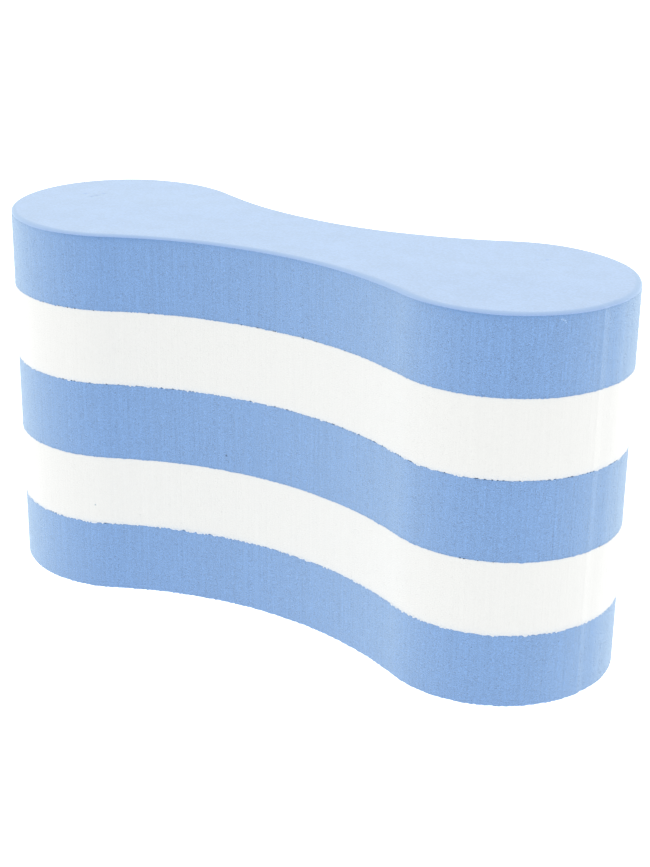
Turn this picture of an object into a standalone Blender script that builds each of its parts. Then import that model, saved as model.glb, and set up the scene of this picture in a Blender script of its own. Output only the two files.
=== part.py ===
"""Pull buoy: five foam sheets bonded face to face and cut to one figure-eight outline.

Units are metres. +Z runs up through the sheets, +X along the float's length, +Y across it.
The origin is the middle of the flat underside, which is the face the float stands on.
"""

import math

import bmesh
import bpy

# Driving dimensions of the outline, which every sheet and bond film shares.
LENGTH = 0.230  # end to end, along X
LOBE_RADIUS = 0.040  # each end is one round lobe, so the float is 0.080 wide
WAIST_WIDTH = 0.044  # the narrowest place, between the hollows for the thighs

# Driving dimensions through the thickness.
HEIGHT = 0.130
JOINT_HEIGHTS = (0.0253, 0.0504, 0.0775, 0.1037)  # middle of each bond film, from the underside
FILM_THICKNESS = 0.0003  # dried contact adhesive
FACE_GAP = 0.0003  # clearance between a film and the foam on each side of it

# Edges.
TOP_EDGE_RADIUS = 0.0016  # the skin rolls over where the block was cut
UNDERSIDE_EDGE_RADIUS = 0.0016
EDGE_STEPS = 4

# How finely the arcs are divided.
LOBE_STEPS = 44  # along one lobe's arc
WAIST_STEPS = 18  # along one hollow's arc

# Colours are linear, as a Principled shader takes them.
BLUE_FOAM = (0.235, 0.420, 0.760)
WHITE_FOAM = (0.880, 0.890, 0.885)
DRIED_ADHESIVE = (0.070, 0.160, 0.360)

SHEETS = (  # from the underside up
    ("bottom_blue_sheet", "blue_foam"),
    ("lower_white_sheet", "white_foam"),
    ("middle_blue_sheet", "blue_foam"),
    ("upper_white_sheet", "white_foam"),
    ("top_blue_sheet", "blue_foam"),
)
FILMS = ("bottom_bond_film", "lower_bond_film", "upper_bond_film", "top_bond_film")


def clear_scene():
    for obj in list(bpy.data.objects):
        bpy.data.objects.remove(obj)


def make_material(name, colour, roughness):
    material = bpy.data.materials.new(name)
    material.use_nodes = True
    shader = material.node_tree.nodes["Principled BSDF"]
    shader.inputs["Base Color"].default_value = (*colour, 1.0)
    shader.inputs["Roughness"].default_value = roughness
    shader.inputs["Metallic"].default_value = 0.0
    return material


def arc_points(centre, radius, start, end, steps):
    """Points along an arc from angle start to angle end, leaving out the last one."""
    points = []
    for step in range(steps):
        angle = start + (end - start) * step / steps
        points.append(
            (centre[0] + radius * math.cos(angle), centre[1] + radius * math.sin(angle))
        )
    return points


def float_outline():
    """The figure-eight, anticlockwise: two round lobes joined by two hollow arcs that touch them."""
    lobe_x = LENGTH / 2 - LOBE_RADIUS
    half_waist = WAIST_WIDTH / 2
    # The hollow's circle touches the lobe's circle and passes through the waist.
    hollow_radius = (lobe_x**2 + half_waist**2 - LOBE_RADIUS**2) / (
        2 * (LOBE_RADIUS - half_waist)
    )
    hollow_y = half_waist + hollow_radius
    touch = math.atan2(hollow_y, lobe_x)  # slope of the line that joins the two centres

    right_lobe = arc_points(
        (lobe_x, 0), LOBE_RADIUS, touch - math.pi, math.pi - touch, LOBE_STEPS
    )
    back_hollow = arc_points(
        (0, hollow_y), hollow_radius, -touch, touch - math.pi, WAIST_STEPS
    )
    left_lobe = arc_points(
        (-lobe_x, 0), LOBE_RADIUS, touch, 2 * math.pi - touch, LOBE_STEPS
    )
    front_hollow = arc_points(
        (0, -hollow_y), hollow_radius, math.pi - touch, touch, WAIST_STEPS
    )
    return right_lobe + back_hollow + left_lobe + front_hollow


def make_slab(name, outline, low, high, material):
    """A flat solid with the float's outline, from z = low to z = high."""
    mesh = bpy.data.meshes.new(name)
    bm = bmesh.new()
    base = bm.faces.new([bm.verts.new((x, y, 0.0)) for x, y in outline])
    made = bmesh.ops.extrude_face_region(bm, geom=[base])
    raised = [item for item in made["geom"] if isinstance(item, bmesh.types.BMVert)]
    bmesh.ops.translate(bm, verts=raised, vec=(0.0, 0.0, high - low))
    bmesh.ops.recalc_face_normals(bm, faces=bm.faces)
    bm.to_mesh(mesh)
    bm.free()
    mesh.materials.append(material)
    slab = bpy.data.objects.new(name, mesh)
    slab.location = (0.0, 0.0, low)
    bpy.context.scene.collection.objects.link(slab)
    return slab


def round_rim(slab, at_top, radius):
    """Rounds the whole edge of a slab's top or bottom face."""
    bm = bmesh.new()
    bm.from_mesh(slab.data)
    heights = [vert.co.z for vert in bm.verts]
    rim_height = max(heights) if at_top else min(heights)
    rim = [
        edge
        for edge in bm.edges
        if all(abs(vert.co.z - rim_height) < radius / 10 for vert in edge.verts)
    ]
    bmesh.ops.bevel(
        bm,
        geom=rim,
        offset=radius,
        segments=EDGE_STEPS,
        profile=0.5,
        affect="EDGES",
    )
    bm.to_mesh(slab.data)
    bm.free()


def shade(slab):
    slab.data.shade_smooth()
    slab.data.set_sharp_from_angle(angle=math.radians(35))


def sheet_levels():
    """The (low, high) faces of each foam sheet, from the underside up."""
    half_joint = FILM_THICKNESS / 2 + FACE_GAP
    lows = [0.0] + [height + half_joint for height in JOINT_HEIGHTS]
    highs = [height - half_joint for height in JOINT_HEIGHTS] + [HEIGHT]
    return list(zip(lows, highs))


def main():
    clear_scene()
    materials = {
        "blue_foam": make_material("blue_foam", BLUE_FOAM, 0.75),
        "white_foam": make_material("white_foam", WHITE_FOAM, 0.75),
        "adhesive": make_material("adhesive", DRIED_ADHESIVE, 0.45),
    }
    outline = float_outline()

    sheets = []
    for (name, foam), (low, high) in zip(SHEETS, sheet_levels()):
        sheets.append(make_slab(name, outline, low, high, materials[foam]))
    round_rim(sheets[0], at_top=False, radius=UNDERSIDE_EDGE_RADIUS)
    round_rim(sheets[-1], at_top=True, radius=TOP_EDGE_RADIUS)

    films = []
    for name, height in zip(FILMS, JOINT_HEIGHTS):
        low = height - FILM_THICKNESS / 2
        films.append(
            make_slab(name, outline, low, low + FILM_THICKNESS, materials["adhesive"])
        )

    for slab in sheets + films:
        shade(slab)


main()
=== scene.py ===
"""Pull buoy: the looks of its five foam sheets and of the dried adhesive that bonds them.

Lengths are in metres, in the frame's axes: +X along the float, +Y across it, +Z up through the
sheets. A place on the cut wall is given by s, the distance along the outline from the front of
the right lobe, anticlockwise seen from above, and by an inset, the distance in from the outline.
"""

import math

import bpy
import numpy as np
from mathutils import Matrix, Vector
from mathutils.geometry import delaunay_2d_cdt


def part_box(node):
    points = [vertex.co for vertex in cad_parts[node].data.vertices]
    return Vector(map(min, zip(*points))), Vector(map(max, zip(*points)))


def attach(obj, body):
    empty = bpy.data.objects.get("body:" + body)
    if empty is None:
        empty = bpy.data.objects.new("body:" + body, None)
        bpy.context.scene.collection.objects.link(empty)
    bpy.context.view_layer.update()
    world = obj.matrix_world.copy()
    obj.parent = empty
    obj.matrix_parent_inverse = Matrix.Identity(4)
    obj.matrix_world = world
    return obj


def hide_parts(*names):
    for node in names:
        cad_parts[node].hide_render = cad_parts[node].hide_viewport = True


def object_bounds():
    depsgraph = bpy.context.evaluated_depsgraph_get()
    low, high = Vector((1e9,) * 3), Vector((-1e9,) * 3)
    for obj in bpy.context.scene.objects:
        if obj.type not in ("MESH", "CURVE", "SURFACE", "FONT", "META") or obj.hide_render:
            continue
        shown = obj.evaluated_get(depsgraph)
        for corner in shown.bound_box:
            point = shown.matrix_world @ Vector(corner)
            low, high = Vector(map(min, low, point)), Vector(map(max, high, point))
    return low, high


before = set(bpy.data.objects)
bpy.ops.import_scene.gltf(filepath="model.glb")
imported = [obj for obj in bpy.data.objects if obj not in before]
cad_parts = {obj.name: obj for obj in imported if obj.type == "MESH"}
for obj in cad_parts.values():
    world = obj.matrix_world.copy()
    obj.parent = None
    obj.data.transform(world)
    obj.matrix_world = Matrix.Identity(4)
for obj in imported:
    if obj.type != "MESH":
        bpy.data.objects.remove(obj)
cad_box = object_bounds()

MM = 0.001
random = np.random.default_rng(271)

# ---------------------------------------------------------------- pieces, from the underside up

SHEETS = (  # CAD node, foam
    ("bottom_blue_sheet", "blue_foam"),
    ("lower_white_sheet", "white_foam"),
    ("middle_blue_sheet", "blue_foam"),
    ("upper_white_sheet", "white_foam"),
    ("top_blue_sheet", "blue_foam"),
)
FILMS = ("bottom_bond_film", "lower_bond_film", "upper_bond_film", "top_bond_film")

# How the cut left each bond line: how far torn foam of the sheet above hangs over the one below,
# how much of the line is torn (0 to 1), and how many short slits show the adhesive.
TORN = (
    {"hang": 0.50 * MM, "share": 0.62, "slits": 40},
    {"hang": 0.28 * MM, "share": 0.42, "slits": 24},
    {"hang": 0.40 * MM, "share": 0.56, "slits": 210},
    {"hang": 0.28 * MM, "share": 0.45, "slits": 40},
)

# ---------------------------------------------------------------- sizes of the detail

COLUMN_STEP = 0.20 * MM  # between the wall's columns of points
LIP_DEPTH = 0.60 * MM  # how far in from the wall two bonded sheets touch
HIDDEN_STEP = 0.25 * MM  # from there in to a sheet's flat face
JOINT_GAP = 0.03 * MM  # between the lips of two sheets
SLIT_HALF = 0.17 * MM  # half a slit's height
SLIT_LENGTHS = (0.25 * MM, 0.95 * MM)  # shortest and longest
SLIT_TAPER = 0.28 * MM  # from a slit's end to its full height
SLIT_GROUP = 5  # slits come in loose groups of about this many
SLIT_SPREAD = 16 * MM  # along this much of the joint
SLIT_STRAIGHT = 0.8 * MM  # the joint doesn't waver this near to a slit
SLIT_CLEAN = 0.4 * MM  # and no torn foam hangs this near to one
FILM_SHOWN = 0.10 * MM  # the film's inset where a slit shows it
FILM_HIDDEN = LIP_DEPTH + 0.20 * MM  # and everywhere else
FILM_BULGE = 0.15 * MM  # how far the film's edge bulges out
FILM_BULGE_HEIGHT = 0.036 * MM  # most of it this near to the film's faces
CLEAR = 0.02 * MM  # torn foam stays this far off the wall that it hangs over
HANG_LEAST = 0.02 * MM  # where the joint isn't torn
HANG_PROUD = 0.28  # how far torn foam stands out, as a share of how far it hangs
HANG_TOP = 0.12 * MM  # it starts this far above the joint
HANG_FADE = 0.35 * MM  # and the wall above it settles back over about this height
CORNER = 0.10 * MM  # blunt corner of a cut edge
JOINT_FADE = 1.2 * MM  # how far from a joint the wall follows its waver, specks and painted shade
ROW_FIRST = 0.34 * MM  # from a joint to the wall's first row of points
ROW_GROWTH = 1.5  # each row is this many times as far from the joint as the one before
ROW_GAP = 0.30 * MM  # and this much more
ROW_MIDDLE = 1.0 * MM  # rows stop about this far from the middle of the wall
WANDER = 0.12 * MM  # slow wander of the cutting wire
DRAG = 0.020 * MM  # vertical lines that the wire dragged down the wall
SEAM_STEP = 0.25 * MM  # where the cut ends it falls this far below where it began
SEAM_FALL = 3.2 * MM  # over this length of wall
SEAM_RISE = 5.5 * MM  # and comes back over this length
SEAM_ANGLE = math.radians(-20.6)  # the seam's direction from the right lobe's centre
TOP_REACH = 2.2 * MM  # the skin's roll-over starts this far in from the wall
TOP_DROP = 0.9 * MM  # and ends this far down it
UNDERSIDE_EDGE = 0.35 * MM  # both, under the float
EDGE_ROWS = 10  # of points on a rounded edge
RIM_SHADE_DEPTH = 0.8 * MM  # how far below the skin the wall has a band of painted shade
SHARP_ANGLE = math.radians(50)  # corners sharper than this aren't shaded smooth


def smooth(value):
    """0 up to 0, 1 from 1, and an S-shaped slope between them."""
    value = np.clip(value, 0, 1)
    return value * value * (3 - 2 * value)


# ---------------------------------------------------------------- outline and randomness along it


class Outline:
    """The figure-eight: two round lobes joined by two hollow arcs, measured on a packed sheet."""

    def __init__(self, node):
        low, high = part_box(node)
        points = [vert.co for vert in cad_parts[node].data.vertices]
        self.lobe = (high.y - low.y) / 2
        self.lobe_x = high.x - self.lobe
        waist = max(abs(point.y) for point in points if abs(point.x) < self.lobe / 20)
        self.hollow = (self.lobe_x**2 + waist**2 - self.lobe**2) / (2 * (self.lobe - waist))
        self.hollow_y = waist + self.hollow
        touch = math.atan2(self.hollow_y, self.lobe_x)
        self.half_turn = math.pi - touch
        # centre, radius, first angle, swept angle, and +1 for a lobe or -1 for a hollow
        self.arcs = np.array(
            [
                (self.lobe_x, 0, self.lobe, -self.half_turn, 2 * self.half_turn, 1),
                (0, self.hollow_y, self.hollow, -touch, 2 * touch - math.pi, -1),
                (-self.lobe_x, 0, self.lobe, touch, 2 * self.half_turn, 1),
                (0, -self.hollow_y, self.hollow, self.half_turn, 2 * touch - math.pi, -1),
            ]
        )
        self.ends = np.cumsum(self.arcs[:, 2] * np.abs(self.arcs[:, 4]))
        self.length = self.ends[-1]

    def at(self, s):
        """Points on the outline and the outward normals there."""
        s = s % self.length
        index = np.minimum(np.searchsorted(self.ends, s, side="right"), len(self.arcs) - 1)
        x, y, radius, first, sweep, side = self.arcs[index].T
        starts = np.concatenate([[0.0], self.ends[:-1]])[index]
        angle = first + sweep * (s - starts) / (self.ends[index] - starts)
        radial = np.stack([np.cos(angle), np.sin(angle)], axis=1)
        return np.stack([x, y], axis=1) + radius[:, None] * radial, side[:, None] * radial

    def depth(self, x, y):
        """How far inside the outline a point lies."""
        x, y = np.abs(x), np.abs(y)
        in_lobe = self.lobe - np.hypot(x - self.lobe_x, y)
        in_waist = np.hypot(x, y - self.hollow_y) - self.hollow
        return np.where(x / self.lobe_x + y / self.hollow_y > 1, in_lobe, in_waist)


outline = Outline("middle_blue_sheet")
columns = np.linspace(0, outline.length, round(outline.length / COLUMN_STEP), endpoint=False)


class Along:
    """Smooth random values from -1 to 1 along the closed outline, with a knot every step."""

    def __init__(self, step):
        self.knots = random.uniform(-1, 1, round(outline.length / step))

    def at(self, s):
        place = s / outline.length * len(self.knots)
        whole = np.floor(place).astype(int)
        before = self.knots[whole % len(self.knots)]
        after = self.knots[(whole + 1) % len(self.knots)]
        return before + (after - before) * smooth(place - whole)


# ---------------------------------------------------------------- bond lines


class Joint:
    """One bond line, as it shows along the cut wall."""

    def __init__(self, node, hang, share, slits):
        low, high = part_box(node)
        self.level = (low.z + high.z) / 2
        self.hang_size, self.share = hang, share
        # For the height of the line.
        self.slow = Along(9 * MM)
        self.fine = Along(1.3 * MM)
        self.saw = Along(0.45 * MM)
        # For the torn foam.
        self.patch = Along(9 * MM)
        self.tuft = Along(1.4 * MM)
        self.fibre = Along(0.55 * MM)
        groups = random.uniform(0, outline.length, slits // SLIT_GROUP)
        self.slit_places = random.choice(groups, slits) + random.normal(0, SLIT_SPREAD, slits)
        self.slit_lengths = random.uniform(*SLIT_LENGTHS, slits)

    def open(self, s, margin=0.0):
        """1 in the middle of a slit, 0 outside it."""
        share = np.zeros_like(s)
        half = outline.length / 2
        for place, length in zip(self.slit_places, self.slit_lengths):
            away = np.abs((s - place + half) % outline.length - half)
            share = np.maximum(share, smooth((length / 2 + margin - away) / SLIT_TAPER))
        return share

    def line(self, s):
        """Height at which the two sheets meet at the wall."""
        waver = 0.08 * self.slow.at(s) + 0.05 * self.fine.at(s) + 0.05 * self.saw.at(s)
        return self.level + waver * MM * (1 - self.open(s, SLIT_STRAIGHT))

    def hang(self, s):
        """How far torn foam hangs over the sheet below."""
        tufts = 0.45 * self.tuft.at(s) + 0.75 * self.fibre.at(s) + 0.30 * self.patch.at(s)
        torn = np.clip(tufts + 2 * self.share - 1, 0, 1)
        return self.hang_size * torn * (1 - self.open(s, SLIT_CLEAN)) + HANG_LEAST


joints = [Joint(node, **torn) for node, torn in zip(FILMS, TORN)]

# ---------------------------------------------------------------- the cut wall

wander = Along(38 * MM)
drag_coarse = Along(2.6 * MM)
drag_fine = Along(0.7 * MM)
drag_fade = Along(5 * MM)
edge_waver = Along(16 * MM)  # of the rounded edges
tooth = Along(0.8 * MM)  # of the ragged underside edge
rim_shade_waver = Along(24 * MM)  # of the painted shade under the skin


def wall_relief(s):
    """How far the cut wall stands out from the outline. It is the same down all five sheets."""
    drags = (0.4 * drag_coarse.at(s) + 0.7 * drag_fine.at(s)) * (0.75 + 0.25 * drag_fade.at(s))
    past_seam = s - outline.lobe * (outline.half_turn + SEAM_ANGLE)
    fall = np.sin(math.pi / 2 * np.clip(past_seam / SEAM_FALL, 0, 1))
    seam = fall - smooth((past_seam - SEAM_FALL) / SEAM_RISE)
    return WANDER * wander.at(s) + DRAG * drags - SEAM_STEP * seam


class Rows:
    """Closed rows of points round the float, from a piece's lower face out and up to its upper."""

    def __init__(self):
        self.points, self.normals = outline.at(columns)
        self.relief = wall_relief(columns)
        self.rows = []
        self.marks = {"skin": [], "edge": [], "rim": []}

    def add(self, inset, z, skin=0.0, edge=0.0, rim=0.0):
        """A row of points at an inset and a height, with its marks.

        skin is 1 on closed skin, edge is 1 at a bond line, and rim is 1 where the skin bends over
        and on the band just under it: painted shade and painted reflection go there.
        """
        place = self.points + self.normals * (self.relief - inset)[:, None]
        self.rows.append(np.column_stack([place, z + 0 * columns]))
        for key, value in (("skin", skin), ("edge", edge), ("rim", rim)):
            self.marks[key].append(value + 0 * columns)


def add_lower_lip(rows, joint, face):
    """The edge of a sheet above a joint, whose torn foam hangs over the sheet below.

    Returns how far the joint strays from its level, and how far the torn foam stands out.
    """
    line = joint.line(columns) + JOINT_GAP / 2 + SLIT_HALF * joint.open(columns)
    hang = joint.hang(columns)
    proud = CLEAR + HANG_PROUD * hang
    rows.add(LIP_DEPTH + HIDDEN_STEP, face, edge=1)
    rows.add(LIP_DEPTH, line, edge=1)
    rows.add(-CLEAR, line, edge=1)
    rows.add(-CLEAR - proud / 2, line - hang, edge=1)
    rows.add(-CLEAR - proud, line - hang * 0.35, edge=1)
    rows.add(-proud * 0.7, line + HANG_TOP, edge=0.9)
    return line - joint.level, proud


def upper_lip_line(joint):
    """Height of the top corner of the sheet below a joint."""
    return joint.line(columns) - JOINT_GAP / 2 - SLIT_HALF * joint.open(columns)


def add_upper_lip(rows, joint, face):
    """The edge of a sheet below a joint."""
    line = upper_lip_line(joint)
    rows.add(0.0, line - 1.2 * CORNER, edge=1)
    rows.add(CORNER * 0.3, line - CORNER * 0.3, edge=1)
    rows.add(CORNER * 1.5, line, edge=1)
    rows.add(LIP_DEPTH, line, edge=1)
    rows.add(LIP_DEPTH + HIDDEN_STEP, face, edge=1)


def graded(low, high):
    """Heights between low and high, close together near both and far apart in the middle."""
    half = (high - low) / 2
    steps = [ROW_FIRST]
    while steps[-1] * ROW_GROWTH < half - ROW_MIDDLE:
        steps.append(ROW_GAP + ROW_GROWTH * steps[-1])
    return [low + step for step in steps] + [high - step for step in reversed(steps)]


def rim_shade_strength():
    """How strong the painted shade just under the skin is: from 0.3 to 1 along the float."""
    return 0.65 + 0.35 * rim_shade_waver.at(columns)


def add_wall(rows, low, high, low_shift, high_shift, proud, skinned=False):
    """The cut wall, whose ends follow the ragged joints; skinned if a roll-over is above it."""
    for level in graded(low, high):
        near_low = math.exp((low - level) / JOINT_FADE)
        near_high = math.exp((level - high) / JOINT_FADE)
        out = proud * 0.6 * math.exp((low - level) / HANG_FADE)
        edge = max(near_low**1.5, 0.7 * near_high**2.4)  # specks and painted shade reach further up than down
        rim = 0.0
        if skinned:
            edge = 0.0 if near_low < near_high else edge
            # a band of painted shade on the wall just under the skin
            rim = rim_shade_strength() * math.exp((level - high) / RIM_SHADE_DEPTH)
        height = level + low_shift * near_low + high_shift * near_high
        rows.add(-out, height, edge=edge, rim=rim)


def add_round_edge(rows, face, up, reach, drop, rim, teeth=0.0):
    """A rounded edge between the wall and a flat face, lowest row first; teeth make it ragged.

    A row's turn is 0 where the edge leaves the wall and a quarter circle where it meets the face.
    """
    uneven = 1 + 0.20 * edge_waver.at(columns) + teeth * tooth.at(columns)
    turns = np.linspace(0, math.pi / 2, EDGE_ROWS + 1)
    for turn in turns if up > 0 else turns[::-1]:
        height = face - up * drop * uneven * (1 - math.sin(turn))
        # painted shade on the lowest part of the roll-over
        rim_shade = rim_shade_strength() * (1 - smooth(turn / 0.2))
        # painted reflection across the middle of the roll-over
        rim_reflection = smooth((turn - 0.1) / 0.4) * (1 - smooth((turn - 1.1) / 0.45))
        mark = rim * np.maximum(rim_shade, rim_reflection)
        inset = reach * uneven * (1 - math.cos(turn))
        rows.add(inset, height, skin=smooth(turn / 0.3), rim=mark)


# ---------------------------------------------------------------- flat faces

SKIN_DENTS = (  # x, y, radius and depth of small dents in the top skin
    (-0.0973, 0.0046, 1.2 * MM, 0.26 * MM),
    (-0.0927, 0.0023, 1.0 * MM, 0.24 * MM),
    (-0.0922, 0.0045, 1.3 * MM, 0.22 * MM),
    (-0.0920, 0.0083, 1.0 * MM, 0.24 * MM),
    (0.0773, 0.0209, 0.5 * MM, 0.25 * MM),
)
SWELL_RISE = 0.0008  # half a wave's height, as a share of its length
SWELLS = [  # wavelength, direction and phase of slow waves in the skins
    (wavelength, random.uniform(0, 2 * math.pi), random.uniform(0, 2 * math.pi))
    for wavelength in (62 * MM, 41 * MM, 27 * MM, 18 * MM)
]


def skin_height(x, y, dents):
    """Height of a skin above its flat level; the waves fade out towards the edge."""
    height = np.zeros_like(x)
    for wavelength, way, phase in SWELLS:
        travel = (x * math.cos(way) + y * math.sin(way)) / wavelength
        height -= SWELL_RISE * wavelength * (1 - np.sin(2 * math.pi * travel + phase))
    height *= smooth((outline.depth(x, y) - 2 * MM) / (9 * MM))
    for dent_x, dent_y, radius, deep in dents:
        away = np.hypot(x - dent_x, y - dent_y) / radius
        height -= deep * np.exp(-1.6 * away**2)
    return height


def grid_points(spacing, margin):
    """A grid of near-equal triangles over the float, at least margin inside the outline."""
    low, high = cad_box
    points = []
    for row, y in enumerate(np.arange(low.y, high.y, spacing * 0.866)):
        x = np.arange(low.x, high.x, spacing) + spacing / 2 * (row % 2)
        points.append(np.column_stack([x, y + 0 * x]))
    points = np.vstack(points)
    return points[outline.depth(points[:, 0], points[:, 1]) > margin]


def skin_points(edge, dents):
    """Points inside a skin: rings that thin out inwards, a grid, and small rings at each dent."""
    points = []
    for inset, keep in ((0.5 * MM, 2), (1.4 * MM, 4), (3.0 * MM, 8)):
        spot, normal = outline.at(columns[::keep])
        points.append(spot - normal * (edge * 1.12 + inset))
    grid = grid_points(spacing=3 * MM, margin=edge * 1.12 + 5 * MM)
    for dent_x, dent_y, radius, _ in dents:
        grid = grid[np.hypot(grid[:, 0] - dent_x, grid[:, 1] - dent_y) > 2.4 * radius]
        for ring in range(1, 7):
            turn = np.linspace(0, 2 * math.pi, 5 + 3 * ring, endpoint=False)
            reach = radius * ring / 3
            x, y = dent_x + reach * np.cos(turn), dent_y + reach * np.sin(turn)
            points.append(np.column_stack([x, y]))
    return np.vstack(points + [grid])


def fill_ring(ring, inner):
    """Upward triangles that fill the ring through the inner points, which are counted after it."""
    flat = [Vector(point) / MM for point in np.vstack([ring, inner])]
    loop = [(i, (i + 1) % len(ring)) for i in range(len(ring))]
    _, _, faces, originals, _, _ = delaunay_2d_cdt(flat, loop, [], 1, 1e-5)
    return np.array([[originals[i][0] for i in face] for face in faces])


# ---------------------------------------------------------------- meshes


def wall_quads(row_count):
    """Quads between neighbouring rows, facing out."""
    count = len(columns)
    here = np.arange(count)
    beside = (here + 1) % count
    quads = [
        np.column_stack([row + here, row + beside, row + count + beside, row + count + here])
        for row in range(0, (row_count - 1) * count, count)
    ]
    return np.vstack(quads)


class Face:
    """A flat face of a piece: the points inside its ring, their heights, and its share of skin."""

    def __init__(self, inner, heights, skin):
        self.inner, self.heights, self.skin = inner, heights, skin


def hidden_face(level):
    inner = grid_points(spacing=8 * MM, margin=5 * MM)
    return Face(inner, level + 0 * inner[:, 0], 0.0)


def skin_face(level, edge, dents, up):
    inner = skin_points(edge, dents)
    return Face(inner, level + up * skin_height(inner[:, 0], inner[:, 1], dents), 1.0)


def build_piece(name, rows, lower, upper):
    """One closed mesh from a wall's rows and the faces that fill its first and last rows."""
    count = len(columns)
    verts = rows.rows + [np.column_stack([face.inner, face.heights]) for face in (lower, upper)]
    for key, values in rows.marks.items():
        for face in (lower, upper):
            values.append(np.full(len(face.inner), face.skin if key == "skin" else 0.0))
    wall_verts = len(rows.rows) * count
    faces = wall_quads(len(rows.rows)).tolist()
    last = len(rows.rows) - 1
    for face, row, inner_start in (
        (lower, 0, wall_verts),
        (upper, last, wall_verts + len(lower.inner)),
    ):
        triangles = fill_ring(rows.rows[row][:, :2], face.inner)
        on_ring = triangles < count
        triangles = triangles + np.where(on_ring, row * count, inner_start - count)
        faces += (triangles[:, ::-1] if face is lower else triangles).tolist()

    mesh = bpy.data.meshes.new(name)
    mesh.from_pydata(np.vstack(verts), [], faces)
    for key, values in rows.marks.items():
        layer = mesh.attributes.new(key, "FLOAT", "POINT")
        layer.data.foreach_set("value", np.concatenate(values).astype(np.float32))
    mesh.shade_smooth()
    mesh.set_sharp_from_angle(angle=SHARP_ANGLE)
    piece = bpy.data.objects.new(name, mesh)
    bpy.context.scene.collection.objects.link(piece)
    return piece


def build_sheet(index):
    """One foam sheet, from its lower face to its upper one."""
    node = SHEETS[index][0]
    low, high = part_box(node)
    rows = Rows()
    if index == 0:
        lower = skin_face(low.z, UNDERSIDE_EDGE, dents=(), up=-1)
        edge = UNDERSIDE_EDGE
        add_round_edge(rows, low.z, up=-1, reach=edge, drop=edge, rim=0.0, teeth=0.7)
        wall_low, low_shift, proud = low.z + UNDERSIDE_EDGE, 0 * columns, 0 * columns
    else:
        lower = hidden_face(low.z)
        wall_low = joints[index - 1].level
        low_shift, proud = add_lower_lip(rows, joints[index - 1], low.z)
    if index == len(SHEETS) - 1:
        wall_high = high.z - TOP_DROP
        add_wall(rows, wall_low, wall_high, low_shift, 0 * columns, proud, skinned=True)
        add_round_edge(rows, high.z, up=1, reach=TOP_REACH, drop=TOP_DROP, rim=1.0)
        upper = skin_face(high.z, TOP_REACH, SKIN_DENTS, up=1)
    else:
        joint = joints[index]
        high_shift = upper_lip_line(joint) - joint.level
        add_wall(rows, wall_low, joint.level, low_shift, high_shift, proud)
        add_upper_lip(rows, joint, high.z)
        upper = hidden_face(high.z)
    return build_piece(node.replace("_sheet", "_foam"), rows, lower, upper)


def build_film(index):
    """The dried adhesive of one joint: it reaches the wall only where a slit shows it."""
    low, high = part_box(FILMS[index])
    shown = joints[index].open(columns, margin=-0.1 * MM)
    inset = FILM_HIDDEN + (FILM_SHOWN - FILM_HIDDEN) * shown
    rows = Rows()
    rows.add(inset + FILM_BULGE, low.z)
    rows.add(inset + FILM_BULGE / 5, low.z + FILM_BULGE_HEIGHT)
    rows.add(inset, (low.z + high.z) / 2)
    rows.add(inset + FILM_BULGE / 5, high.z - FILM_BULGE_HEIGHT)
    rows.add(inset + FILM_BULGE, high.z)
    name = FILMS[index].replace("_film", "_adhesive")
    return build_piece(name, rows, hidden_face(low.z), hidden_face(high.z))


# ---------------------------------------------------------------- looks


def on_lobe(side, degrees, height):
    """A place on the wall of the right lobe (side 1) or the left one (side -1), with the
    degrees turning from +X towards +Y."""
    turn = math.radians(degrees)
    reach_x, reach_y = outline.lobe * math.cos(turn), outline.lobe * math.sin(turn)
    return (side * outline.lobe_x + reach_x, reach_y, height)


# Colours are linear, as a Principled shader takes them.
SCUFF = (0.30, 0.46, 0.72)
# painted shade of a pinhole: a near-black dot where the mesh has no hole
PINHOLE_SHADE = (0.01, 0.05, 0.16)
DIRT = (0.30, 0.38, 0.42)
BLUE = {
    "cut": (0.129, 0.258, 0.516),
    "grain": 0.30,  # how much darker and lighter the cut foam gets
    "streaks": 0.20,  # the share of that which runs in vertical streaks
    "relief": 0.10 * MM,  # of the bump
    # the pore colour is painted shade inside the open pores
    "pore": (0.050, 0.130, 0.340),
    "pores": 0.85,  # how strongly the painted shade in the pores shows
    "edge": (0.075, 0.165, 0.360),  # next to a bond line: specks, and painted shade along it
    "specks_and_shade": 0.35,  # how strongly that shows
    "rim_shade": (0.070, 0.185, 0.430),  # painted shade on the cut foam just under the skin
    "rim_reflection": (0.235, 0.375, 0.65),  # painted reflection on the skin where it rolls over
    # the skin's own lighter tone, raised further as painted light on the top face
    "skin": (0.312, 0.437, 0.722),
    "mottle": 0.13,  # how much darker and lighter the skin gets
    "sheen": 1.0,
    "tint": (0.69, 0.84, 0.93),  # of the sheen
    "marks": (  # place, radius, colour
        (on_lobe(1, -42.6, 0.1279), 0.35 * MM, SCUFF),
        (on_lobe(1, -41.8, 0.1277), 0.35 * MM, SCUFF),
        (on_lobe(1, -41.0, 0.1274), 0.35 * MM, SCUFF),
        (on_lobe(1, -40.5, 0.1268), 0.30 * MM, SCUFF),
        ((-0.0170, -0.0232, 0.0560), 0.55 * MM, PINHOLE_SHADE),
    ),
}
WHITE = {  # cut on every side that shows, so it has no skin
    "cut": (0.628, 0.634, 0.622),
    "grain": 0.034,
    "streaks": 0.30,
    "relief": 0.04 * MM,
    # the pore colour is painted shade inside the open pores
    "pore": (0.56, 0.58, 0.59),
    "pores": 0.20,
    # next to a bond line: bluish specks, and painted bluish shade along it
    "edge": (0.36, 0.50, 0.70),
    "specks_and_shade": 0.55,
    "sheen": 1.0,
    "tint": (1.0, 1.0, 0.98),
    "marks": ((on_lobe(-1, -72.3, 0.0320), 0.45 * MM, DIRT),),
}
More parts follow.
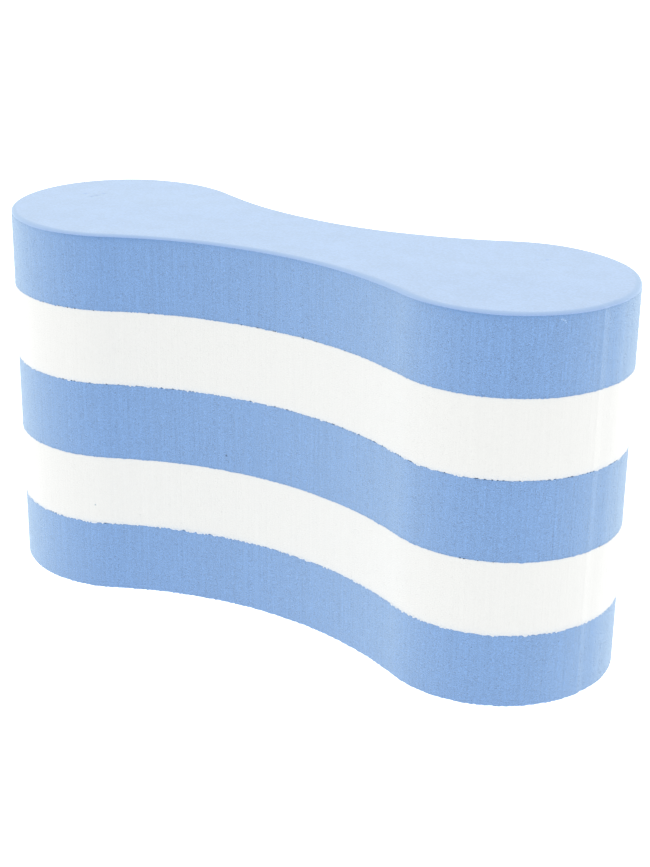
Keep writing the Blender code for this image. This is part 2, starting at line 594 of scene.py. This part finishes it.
# The dried adhesive's colours, near-black blue so the slits read dark: partly painted shade.
ADHESIVE_SHADE_DARK = (0.03, 0.07, 0.16)
ADHESIVE_SHADE_LIGHT = (0.08, 0.16, 0.32)
CUT_ROUGHNESS = 0.80
SKIN_ROUGHNESS = 0.52
SHEEN_ROUGHNESS = 0.6
FOAM_IOR = 1.5

# ---------------------------------------------------------------- materials


class Nodes:
    """Short ways to add nodes to one material's tree."""

    def __init__(self, name):
        self.material = bpy.data.materials.new(name)
        self.material.use_nodes = True
        self.tree = self.material.node_tree
        self.shader = self.tree.nodes["Principled BSDF"]
        self.place = self.add("ShaderNodeTexCoord").outputs["Object"]

    def add(self, kind, **settings):
        node = self.tree.nodes.new(kind)
        for key, value in settings.items():
            setattr(node, key, value)
        return node

    def feed(self, socket, value):
        if isinstance(value, bpy.types.NodeSocket):
            self.tree.links.new(value, socket)
        else:
            socket.default_value = value

    def math(self, operation, a, b):
        node = self.add("ShaderNodeMath", operation=operation)
        self.feed(node.inputs[0], a)
        self.feed(node.inputs[1], b)
        return node.outputs[0]

    def sum(self, a, b, share):
        """a plus a share of b."""
        node = self.add("ShaderNodeMath", operation="MULTIPLY_ADD")
        for socket, value in zip(node.inputs, (b, share, a)):
            self.feed(socket, value)
        return node.outputs[0]

    def ramp(self, value, low, high):
        """0 up to low, 1 from high, smooth between them."""
        node = self.add("ShaderNodeMapRange", interpolation_type="SMOOTHSTEP")
        self.feed(node.inputs["Value"], value)
        node.inputs["From Min"].default_value = low
        node.inputs["From Max"].default_value = high
        return node.outputs["Result"]

    def mix(self, share, a, b):
        node = self.add("ShaderNodeMix", data_type="RGBA")
        self.feed(node.inputs["Factor"], share)
        self.feed(node.inputs["A"], (*a, 1) if isinstance(a, tuple) else a)
        self.feed(node.inputs["B"], (*b, 1) if isinstance(b, tuple) else b)
        return node.outputs["Result"]

    def attribute(self, name):
        return self.add("ShaderNodeAttribute", attribute_name=name).outputs["Fac"]

    def texture(self, kind, size, stretch):
        """A texture whose spots are about size across, and stretch times as tall."""
        mapping = self.add("ShaderNodeMapping")
        self.feed(mapping.inputs["Vector"], self.place)
        mapping.inputs["Scale"].default_value = (1 / size, 1 / size, 1 / size / stretch)
        node = self.add(kind)
        self.feed(node.inputs["Vector"], mapping.outputs[0])
        node.inputs["Scale"].default_value = 1.0
        return node

    def noise(self, size, stretch=1.0, detail=2.0):
        """Soft noise."""
        node = self.texture("ShaderNodeTexNoise", size, stretch)
        node.inputs["Detail"].default_value = detail
        return node.outputs["Fac"]

    def cells(self, size, stretch):
        """Distance to the nearest cell centre, in cells, and a random value for each cell."""
        node = self.texture("ShaderNodeTexVoronoi", size, stretch)
        parts = self.add("ShaderNodeSeparateColor")
        self.feed(parts.inputs[0], node.outputs["Color"])
        return node.outputs["Distance"], parts.outputs[0]

    def bump(self, height, distance, strength):
        node = self.add("ShaderNodeBump")
        self.feed(node.inputs["Height"], height)
        self.feed(node.inputs["Strength"], strength)
        node.inputs["Distance"].default_value = distance
        return node.outputs["Normal"]


def foam_grain(nodes, streak_share):
    """How light the cut foam is at each point, about 0.5, and where its open pores are."""
    streaks = nodes.noise(0.5 * MM, stretch=90)
    grain = nodes.noise(0.32 * MM, stretch=0.85)
    light = nodes.sum(nodes.math("MULTIPLY", streaks, streak_share), grain, 1 - streak_share)
    distance, chance = nodes.cells(0.46 * MM, stretch=0.9)
    lines = nodes.noise(1.2 * MM, stretch=12)
    pore = nodes.math("MULTIPLY", nodes.ramp(distance, 0.44, 0.22), nodes.ramp(chance, 0.70, 0.76))
    pore = nodes.math("MULTIPLY", pore, nodes.ramp(lines, 0.38, 0.52))
    return nodes.ramp(light, 0.25, 0.75), pore


def spread(colour, share):
    """The colour made darker and lighter by a share of itself."""
    return tuple(c * (1 - share) for c in colour), tuple(c * (1 + share) for c in colour)


def foam_colour(nodes, look, light, pore):
    """The cut foam's colour: grain, painted pore shade, and specks and painted shade near the
    bonds.
    """
    foam = nodes.mix(light, *spread(look["cut"], look["grain"]))
    # painted shade in the open pores
    foam = nodes.mix(nodes.math("MULTIPLY", pore, look["pores"]), foam, look["pore"])
    edge = nodes.attribute("edge")
    # Near a bond line: specks, and a faint painted shade that fades away from the joint.
    specks = nodes.ramp(nodes.noise(0.36 * MM, detail=1), 0.46, 0.58)
    patches = nodes.sum(nodes.math("MULTIPLY", specks, 0.75), edge, 0.25)
    specks_and_shade = nodes.math("MULTIPLY", edge, patches)
    return nodes.mix(nodes.math("MULTIPLY", specks_and_shade, look["specks_and_shade"]), foam, look["edge"])


def marked(nodes, colour, marks):
    """The colour with small round marks on it."""
    for place, radius, paint in marks:
        away = nodes.add("ShaderNodeVectorMath", operation="DISTANCE")
        nodes.feed(away.inputs[0], nodes.place)
        nodes.feed(away.inputs[1], place)
        share = nodes.ramp(away.outputs["Value"], radius, radius / 3)
        colour = nodes.mix(share, colour, paint)
    return colour


def skin_colour(nodes, look):
    """The closed skin's colour: faintly mottled, and a deeper painted reflection where it bends
    over.
    """
    fine, broad = nodes.noise(0.7 * MM), nodes.noise(7 * MM)
    mottle = nodes.sum(nodes.math("MULTIPLY", fine, 0.7), broad, 0.3)
    closed = nodes.mix(nodes.ramp(mottle, 0.3, 0.7), *spread(look["skin"], look["mottle"]))
    # painted reflection where the skin bends over
    return nodes.mix(nodes.attribute("rim"), closed, look["rim_reflection"])


def foam_material(name, look):
    """Cut foam; if the look has a skin, it covers the foam where the skin mark is 1."""
    nodes = Nodes(name)
    light, pore = foam_grain(nodes, look["streaks"])
    colour = foam_colour(nodes, look, light, pore)
    roughness, bump_strength = CUT_ROUGHNESS, 1.0
    if "skin" in look:
        skin = nodes.attribute("skin")
        # painted shade on the cut foam just under the skin
        colour = nodes.mix(nodes.attribute("rim"), colour, look["rim_shade"])
        colour = nodes.mix(skin, colour, skin_colour(nodes, look))
        roughness = nodes.sum(CUT_ROUGHNESS, skin, SKIN_ROUGHNESS - CUT_ROUGHNESS)
        bump_strength = nodes.math("SUBTRACT", 1.0, skin)
    nodes.feed(nodes.shader.inputs["Base Color"], marked(nodes, colour, look["marks"]))
    nodes.feed(nodes.shader.inputs["Roughness"], roughness)
    height = nodes.math("SUBTRACT", light, pore)
    nodes.feed(nodes.shader.inputs["Normal"], nodes.bump(height, look["relief"], bump_strength))
    nodes.shader.inputs["IOR"].default_value = FOAM_IOR
    nodes.shader.inputs["Sheen Weight"].default_value = look["sheen"]
    nodes.shader.inputs["Sheen Roughness"].default_value = SHEEN_ROUGHNESS
    nodes.shader.inputs["Sheen Tint"].default_value = (*look["tint"], 1)
    return nodes.material


# Dried adhesive; its near-black colour is partly painted shade in the slits where it shows.
def adhesive_and_shade_material():
    nodes = Nodes("adhesive_and_slit_shade")
    spots = nodes.noise(0.8 * MM)
    colour = nodes.mix(spots, ADHESIVE_SHADE_DARK, ADHESIVE_SHADE_LIGHT)
    nodes.feed(nodes.shader.inputs["Base Color"], colour)
    nodes.feed(nodes.shader.inputs["Roughness"], nodes.sum(0.35, spots, 0.3))
    return nodes.material


# ---------------------------------------------------------------- studio

CAMERA_AZIMUTH = math.radians(31.6)  # to the right of straight in front
CAMERA_ELEVATION = math.radians(21.71)
CAMERA_ROLL = math.radians(0.81)
CAMERA_TARGET = Vector((0.0080, 0.0, 0.0620))
CAMERA_DISTANCE = 0.5951
CAMERA_LENS = 72.16  # mm, on a sensor of this width in mm
CAMERA_SENSOR = 36
FLOOR_HALF = 4.0
FLOOR_GREY = 0.35
FLOOR_GLOW = 1.35  # bright enough to come out white, as in the photo


def aim(obj, place, target, roll=0.0):
    back = (Vector(place) - Vector(target)).normalized()
    side = Vector((0, 0, 1)).cross(back).normalized()
    turn = Matrix((side, back.cross(side), back)).transposed().to_4x4()
    obj.matrix_world = Matrix.Translation(place) @ turn @ Matrix.Rotation(roll, 4, "Z")


def add_camera():
    level = math.cos(CAMERA_ELEVATION)
    side, ahead = math.sin(CAMERA_AZIMUTH) * level, math.cos(CAMERA_AZIMUTH) * level
    back = Vector((side, -ahead, math.sin(CAMERA_ELEVATION)))
    data = bpy.data.cameras.new("camera")
    data.lens = CAMERA_LENS
    data.sensor_width = CAMERA_SENSOR
    camera = bpy.data.objects.new("camera", data)
    bpy.context.scene.collection.objects.link(camera)
    aim(camera, CAMERA_TARGET + back * CAMERA_DISTANCE, CAMERA_TARGET, CAMERA_ROLL)
    bpy.context.scene.camera = camera


def add_light(name, place, target, size, power):
    data = bpy.data.lights.new(name, "AREA")
    data.shape = "DISK"
    data.size = size
    data.energy = power
    light = bpy.data.objects.new(name, data)
    bpy.context.scene.collection.objects.link(light)
    aim(light, place, target)


def add_floor():
    mesh = bpy.data.meshes.new("floor")
    corners = ((-1, -1), (1, -1), (1, 1), (-1, 1))
    verts = [(x * FLOOR_HALF, y * FLOOR_HALF, 0) for x, y in corners]
    mesh.from_pydata(verts, [], [(0, 1, 2, 3)])
    floor = bpy.data.objects.new("floor", mesh)
    floor.location.z = cad_box[0].z - 0.1 * MM
    bpy.context.scene.collection.objects.link(floor)
    nodes = Nodes("floor")
    nodes.shader.inputs["Base Color"].default_value = (FLOOR_GREY, FLOOR_GREY, FLOOR_GREY, 1)
    nodes.shader.inputs["Roughness"].default_value = 0.9
    nodes.shader.inputs["Emission Color"].default_value = (1, 1, 1, 1)
    nodes.shader.inputs["Emission Strength"].default_value = FLOOR_GLOW
    mesh.materials.append(nodes.material)


def add_world():
    world = bpy.data.worlds.new("studio")
    world.use_nodes = True
    background = world.node_tree.nodes["Background"]
    background.inputs["Color"].default_value = (1, 1, 1, 1)
    background.inputs["Strength"].default_value = 1.0
    bpy.context.scene.world = world


# ---------------------------------------------------------------- the scene

add_camera()
add_world()
add_floor()
add_light("overhead", place=(-0.3, 0.5, 1.5), target=(0, 0, 0.1), size=1.0, power=4)

blue = foam_material("blue_foam", BLUE)
white = foam_material("white_foam", WHITE)
glue_and_shade = adhesive_and_shade_material()

for number, (node, foam) in enumerate(SHEETS):
    sheet = build_sheet(number)
    sheet.data.materials.append(blue if foam == "blue_foam" else white)
    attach(sheet, "root")
    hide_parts(node)

for number, node in enumerate(FILMS):
    film = build_film(number)
    film.data.materials.append(glue_and_shade)
    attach(film, "root")
    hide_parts(node)

bpy.context.scene.view_settings.view_transform = "Standard"
